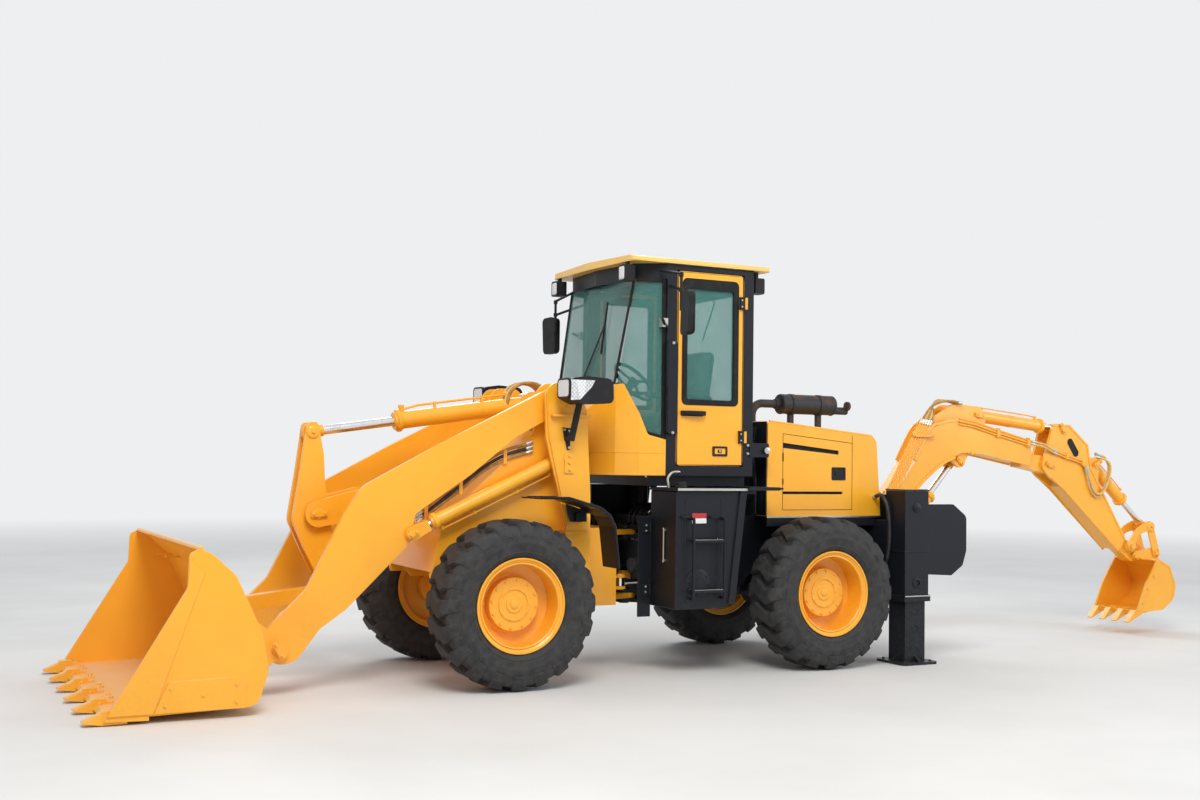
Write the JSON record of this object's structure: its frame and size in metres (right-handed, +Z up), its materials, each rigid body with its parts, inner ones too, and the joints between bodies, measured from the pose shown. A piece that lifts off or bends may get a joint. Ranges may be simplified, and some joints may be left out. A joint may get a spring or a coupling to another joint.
{
  "type": "backhoe loader",
  "caption": "Articulated backhoe loader with a front bucket on two arms, a glazed cab, a rear engine hood and a rear digging arm between stabiliser legs.",
  "frame": {"origin": "on the ground, midway between the loader bucket's teeth and the backhoe bucket's back, on the centre line", "axes": "+X forward towards the loader bucket, +Y to the machine's left, +Z up"},
  "size_m": [10.1658, 2.4904, 3.1559],
  "materials": {
    "yellow_paint": "semi-gloss",
    "black_paint": "satin",
    "roof_paint": "satin",
    "steel_rod": "polished",
    "tread_rubber": "matte",
    "window_glass": "clear",
    "seat_cover": "matte",
    "muffler_steel": "matte",
    "cast_block": "rough",
    "black_plastic": "matte"
  },
  "bodies": {
    "rear": {"rear_frame": "black_paint", "rear_axle": "black_paint", "tanks": "black_paint", "rear_fenders": "black_paint", "cab_shell": "black_paint", "cab_roof": "roof_paint", "cab_glass": "window_glass", "cab_cowl": "yellow_paint", "seat": "seat_cover", "steering_console": "black_plastic", "mirrors": "black_plastic", "work_lamps": "black_plastic", "hood": "yellow_paint", "engine_block": "cast_block", "muffler": "muffler_steel", "backhoe_frame": "black_paint", "swing_lugs": "black_paint"},
    "front": {"front_frame": "yellow_paint", "front_axle": "yellow_paint", "front_fenders": "black_paint", "headlamps": "black_plastic"},
    "wheel_front_left": {"tyre_front_left": "tread_rubber", "rim_front_left": "yellow_paint"},
    "wheel_front_right": {"tyre_front_right": "tread_rubber", "rim_front_right": "yellow_paint"},
    "wheel_rear_left": {"tyre_rear_left": "tread_rubber", "rim_rear_left": "yellow_paint"},
    "wheel_rear_right": {"tyre_rear_right": "tread_rubber", "rim_rear_right": "yellow_paint"},
    "steer_barrel_left": {"steer_barrel_left": "yellow_paint"},
    "steer_rod_left": {"steer_rod_left": "steel_rod"},
    "steer_barrel_right": {"steer_barrel_right": "yellow_paint"},
    "steer_rod_right": {"steer_rod_right": "steel_rod"},
    "loader_boom": {"loader_boom": "yellow_paint"},
    "lift_barrels": {"lift_barrels": "yellow_paint"},
    "lift_rods": {"lift_rods": "steel_rod"},
    "tilt_barrel": {"tilt_barrel": "yellow_paint"},
    "tilt_rod": {"tilt_rod": "steel_rod"},
    "bellcrank": {"bellcrank": "yellow_paint"},
    "bucket_link": {"bucket_link": "yellow_paint"},
    "loader_bucket": {"loader_bucket": "yellow_paint"},
    "door_left": {"door_left": "yellow_paint", "door_glass_left": "window_glass"},
    "door_right": {"door_right": "yellow_paint", "door_glass_right": "window_glass"},
    "swing_post": {"swing_post": "black_paint"},
    "backhoe_boom": {"backhoe_boom": "yellow_paint"},
    "dipper": {"dipper": "yellow_paint"},
    "backhoe_bucket": {"backhoe_bucket": "yellow_paint"},
    "bucket_rocker": {"bucket_rocker": "yellow_paint"},
    "rocker_link": {"rocker_link": "yellow_paint"},
    "boom_cyl_barrel": {"boom_cyl_barrel": "yellow_paint"},
    "boom_cyl_rod": {"boom_cyl_rod": "steel_rod"},
    "dipper_cyl_barrel": {"dipper_cyl_barrel": "yellow_paint"},
    "dipper_cyl_rod": {"dipper_cyl_rod": "steel_rod"},
    "bucket_cyl_barrel": {"bucket_cyl_barrel": "yellow_paint"},
    "bucket_cyl_rod": {"bucket_cyl_rod": "steel_rod"},
    "stabiliser_left": {"stabiliser_left": "black_paint"},
    "stabiliser_right": {"stabiliser_right": "black_paint"}
  },
  "joints": [
    {"name": "articulation", "type": "hinge", "parent": "rear", "child": "front", "pos_m": [0.912, 0, 0.59], "axis": [0, 0, 1], "range_deg": [-28, 28]},
    {"name": "wheel_front_left", "type": "hinge", "parent": "front", "child": "wheel_front_left", "pos_m": [2.237, 0.805, 0.59], "axis": [0, 1, 0], "continuous": true},
    {"name": "wheel_front_right", "type": "hinge", "parent": "front", "child": "wheel_front_right", "pos_m": [2.237, -0.805, 0.59], "axis": [0, 1, 0], "continuous": true},
    {"name": "wheel_rear_left", "type": "hinge", "parent": "rear", "child": "wheel_rear_left", "pos_m": [-0.413, 0.805, 0.59], "axis": [0, 1, 0], "continuous": true},
    {"name": "wheel_rear_right", "type": "hinge", "parent": "rear", "child": "wheel_rear_right", "pos_m": [-0.413, -0.805, 0.59], "axis": [0, 1, 0], "continuous": true},
    {"name": "steer_barrel_left", "type": "hinge", "parent": "rear", "child": "steer_barrel_left", "pos_m": [0.312, 0.25, 0.665], "axis": [0, 0, 1], "range_deg": [-6.67, 6.67]},
    {"name": "steer_rod_left", "type": "slide", "parent": "steer_barrel_left", "child": "steer_rod_left", "axis": [1, 0, 0], "range_m": [-0.1227, 0.1227]},
    {"name": "steer_barrel_right", "type": "hinge", "parent": "rear", "child": "steer_barrel_right", "pos_m": [0.312, -0.25, 0.665], "axis": [0, 0, 1], "range_deg": [-6.67, 6.67]},
    {"name": "steer_rod_right", "type": "slide", "parent": "steer_barrel_right", "child": "steer_rod_right", "axis": [1, 0, 0], "range_m": [-0.1227, 0.1227]},
    {"name": "boom_lift", "type": "hinge", "parent": "front", "child": "loader_boom", "pos_m": [1.763, 0, 2.024], "axis": [0, -1, 0], "range_deg": [-1.5, 80]},
    {"name": "lift_barrels", "type": "hinge", "parent": "front", "child": "lift_barrels", "pos_m": [1.727, 0, 1.61], "axis": [0, -1, 0], "range_deg": [-1.92, 76.44]},
    {"name": "lift_rods", "type": "slide", "parent": "lift_barrels", "child": "lift_rods", "axis": [0.908, 0, -0.4189], "range_m": [-0.0119, 0.5291]},
    {"name": "bucket_tilt", "type": "hinge", "parent": "loader_boom", "child": "loader_bucket", "pos_m": [3.817, 0, 0.32], "axis": [0, 1, 0], "range_deg": [-40, 70]},
    {"name": "bellcrank", "type": "hinge", "parent": "loader_boom", "child": "bellcrank", "pos_m": [3.432, 0, 1.195], "axis": [0, 1, 0], "range_deg": [-34.1, 19.7]},
    {"name": "bucket_link", "type": "hinge", "parent": "bellcrank", "child": "bucket_link", "pos_m": [3.277, 0, 0.65], "axis": [0, 1, 0], "range_deg": [-22.9, 39.7]},
    {"name": "tilt_barrel", "type": "hinge", "parent": "loader_boom", "child": "tilt_barrel", "pos_m": [1.763, 0, 2.024], "axis": [0, 1, 0], "range_deg": [-2.29, 3.63]},
    {"name": "tilt_rod", "type": "slide", "parent": "tilt_barrel", "child": "tilt_rod", "axis": [0.9893, 0, -0.1458], "range_m": [-0.3231, 0.1855]},
    {"name": "door_left", "type": "hinge", "parent": "rear", "child": "door_left", "pos_m": [0.237, 0.694, 2.3], "axis": [0, 0, 1], "range_deg": [0, 105]},
    {"name": "door_right", "type": "hinge", "parent": "rear", "child": "door_right", "pos_m": [0.237, -0.694, 2.3], "axis": [0, 0, -1], "range_deg": [0, 105]},
    {"name": "swing", "type": "hinge", "parent": "rear", "child": "swing_post", "pos_m": [-1.533, 0, 0.8], "axis": [0, 0, 1], "range_deg": [-64, 64]},
    {"name": "backhoe_boom", "type": "hinge", "parent": "swing_post", "child": "backhoe_boom", "pos_m": [-1.623, 0, 1.13], "axis": [0, 1, 0], "range_deg": [-45, 30]},
    {"name": "boom_cyl_barrel", "type": "hinge", "parent": "swing_post", "child": "boom_cyl_barrel", "pos_m": [-1.703, 0, 0.8], "axis": [0, 1, 0], "range_deg": [-39.31, 26.38]},
    {"name": "boom_cyl_rod", "type": "slide", "parent": "boom_cyl_barrel", "child": "boom_cyl_rod", "axis": [-0.6781, 0, 0.735], "range_m": [-0.2324, 0.1556]},
    {"name": "dipper", "type": "hinge", "parent": "backhoe_boom", "child": "dipper", "pos_m": [-3.583, 0, 1.616], "axis": [0, 1, 0], "range_deg": [-66, 14]},
    {"name": "dipper_cyl_barrel", "type": "hinge", "parent": "backhoe_boom", "child": "dipper_cyl_barrel", "pos_m": [-2.718, 0, 2.06], "axis": [0, 1, 0], "range_deg": [-15.07, 3.59]},
    {"name": "dipper_cyl_rod", "type": "slide", "parent": "dipper_cyl_barrel", "child": "dipper_cyl_rod", "axis": [-0.9956, 0, -0.0942], "range_m": [-0.0623, 0.2861]},
    {"name": "backhoe_bucket", "type": "hinge", "parent": "dipper", "child": "backhoe_bucket", "pos_m": [-4.726, 0, 0.74], "axis": [0, 1, 0], "range_deg": [-62, 45]},
    {"name": "bucket_rocker", "type": "hinge", "parent": "dipper", "child": "bucket_rocker", "pos_m": [-4.654, 0, 0.835], "axis": [0, 1, 0], "range_deg": [-53.11, 38.69]},
    {"name": "rocker_link", "type": "hinge", "parent": "bucket_rocker", "child": "rocker_link", "pos_m": [-4.923, 0, 1.025], "axis": [0, 1, 0], "range_deg": [-13.2, 18]},
    {"name": "bucket_cyl_barrel", "type": "hinge", "parent": "dipper", "child": "bucket_cyl_barrel", "pos_m": [-4.195, 0, 1.64], "axis": [0, 1, 0], "range_deg": [-6.5, 4.86]},
    {"name": "bucket_cyl_rod", "type": "slide", "parent": "bucket_cyl_barrel", "child": "bucket_cyl_rod", "axis": [-0.7639, 0, -0.6453], "range_m": [-0.1977, 0.2717]},
    {"name": "stabiliser_left", "type": "slide", "parent": "rear", "child": "stabiliser_left", "axis": [0, 0, 1], "range_m": [0, 0.42]},
    {"name": "stabiliser_right", "type": "slide", "parent": "rear", "child": "stabiliser_right", "axis": [0, 0, 1], "range_m": [0, 0.42]}
  ],
  "couplings": [
    {"joint": "steer_barrel_left", "follows": "articulation", "ratio": 0.2203},
    {"joint": "steer_rod_left", "follows": "articulation", "m_per_rad": -0.247},
    {"joint": "steer_barrel_right", "follows": "articulation", "ratio": 0.2203},
    {"joint": "steer_rod_right", "follows": "articulation", "m_per_rad": 0.247},
    {"joint": "lift_barrels", "follows": "boom_lift", "ratio": 0.9493},
    {"joint": "lift_rods", "follows": "boom_lift", "m_per_rad": 0.3775},
    {"joint": "bellcrank", "follows": "bucket_tilt", "ratio": -0.48},
    {"joint": "bucket_link", "follows": "bucket_tilt", "ratio": 0.56},
    {"joint": "tilt_barrel", "follows": "bucket_tilt", "ratio": 0.0447},
    {"joint": "tilt_rod", "follows": "bucket_tilt", "m_per_rad": -0.2628},
    {"joint": "boom_cyl_barrel", "follows": "backhoe_boom", "ratio": 0.8625},
    {"joint": "boom_cyl_rod", "follows": "backhoe_boom", "m_per_rad": 0.2933},
    {"joint": "dipper_cyl_barrel", "follows": "dipper", "ratio": 0.2207},
    {"joint": "dipper_cyl_rod", "follows": "dipper", "m_per_rad": -0.2466},
    {"joint": "bucket_rocker", "follows": "backhoe_bucket", "ratio": 0.8486},
    {"joint": "rocker_link", "follows": "backhoe_bucket", "ratio": -0.2822},
    {"joint": "bucket_cyl_barrel", "follows": "backhoe_bucket", "ratio": 0.0968},
    {"joint": "bucket_cyl_rod", "follows": "backhoe_bucket", "m_per_rad": -0.2492}
  ]
}
